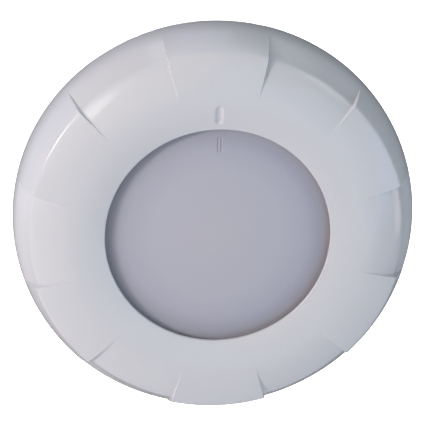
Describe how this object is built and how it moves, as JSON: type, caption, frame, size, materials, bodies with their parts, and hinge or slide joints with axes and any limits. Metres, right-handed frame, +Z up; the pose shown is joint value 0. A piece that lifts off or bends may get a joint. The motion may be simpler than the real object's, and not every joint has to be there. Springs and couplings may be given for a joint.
{
  "type": "underwater pool light",
  "caption": "Surface-mounted underwater pool light: domed grip-ring bezel that twists to lock, opal lens, sealed LED lamp and wall bracket.",
  "frame": {"origin": "on the pool wall's face, at the centre of the wall bracket's cable hole", "axes": "-Y out of the wall, along the light's beam; +Z up, through the two index marks; +X to the right as seen from the water"},
  "size_m": [0.2798, 0.0508, 0.2798],
  "materials": {
    "white_gloss": "moulded, smooth, semi-gloss",
    "opal": "frosted opal diffuser, satin",
    "bracket_grey": "glass-filled nylon, matt",
    "charcoal": "glass-filled nylon, matt",
    "silicone": "silicone rubber",
    "rubber": "black EPDM",
    "black_nylon": "nylon, satin",
    "stainless": "passivated stainless",
    "aluminium": "as rolled",
    "thermal_pad": "filled silicone pad",
    "board_white": "white solder mask",
    "board_green": "green solder mask",
    "phosphor": "phosphor dome",
    "chip_black": "epoxy package",
    "copper": "enamelled copper winding",
    "capacitor_can": "bright can"
  },
  "bodies": {
    "bracket": {"wall_bracket": "bracket_grey", "bayonet_collar": "bracket_grey", "collar_screw_1": "stainless", "collar_screw_2": "stainless", "collar_screw_3": "stainless"},
    "lamp": {"lamp_housing": "charcoal", "lens": "opal", "lens_gasket": "silicone", "lens_clamp_ring": "charcoal", "heat_spreader": "aluminium", "thermal_pad": "thermal_pad", "led_board": "board_white", "reflector_plate": "board_white", "driver_board": "board_green", "driver_inductor": "copper", "driver_rectifier": "chip_black", "driver_controller": "chip_black", "terminal_block": "black_nylon", "gland_body": "black_nylon", "gland_o_ring": "rubber", "gland_locknut": "black_nylon", "gland_seal": "rubber", "gland_nut": "black_nylon", "clamp_screw_1": "stainless", "clamp_screw_2": "stainless", "clamp_screw_3": "stainless", "clamp_screw_4": "stainless", "clamp_screw_5": "stainless", "clamp_screw_6": "stainless", "clamp_screw_7": "stainless", "clamp_screw_8": "stainless", "board_screw_1": "stainless", "board_screw_2": "stainless", "board_screw_3": "stainless", "led_1": "phosphor", "led_2": "phosphor", "led_3": "phosphor", "led_4": "phosphor", "led_5": "phosphor", "led_6": "phosphor", "led_7": "phosphor", "led_8": "phosphor", "led_9": "phosphor", "led_10": "phosphor", "led_11": "phosphor", "led_12": "phosphor", "driver_capacitor_1": "capacitor_can", "driver_capacitor_2": "capacitor_can"},
    "ring": {"face_ring": "white_gloss", "lock_ring": "bracket_grey", "lock_ring_screw_1": "stainless", "lock_ring_screw_2": "stainless", "lock_ring_screw_3": "stainless", "lock_ring_screw_4": "stainless", "lock_ring_screw_5": "stainless", "lock_ring_screw_6": "stainless"}
  },
  "joints": [
    {"name": "lamp_release", "type": "slide", "parent": "bracket", "child": "lamp", "axis": [0, -1, 0], "range_m": [0, 0.06]},
    {"name": "ring_lock", "type": "hinge", "parent": "lamp", "child": "ring", "pos_m": [0, -0.03, 0], "axis": [0, 1, 0], "range_deg": [0, 30]}
  ]
}
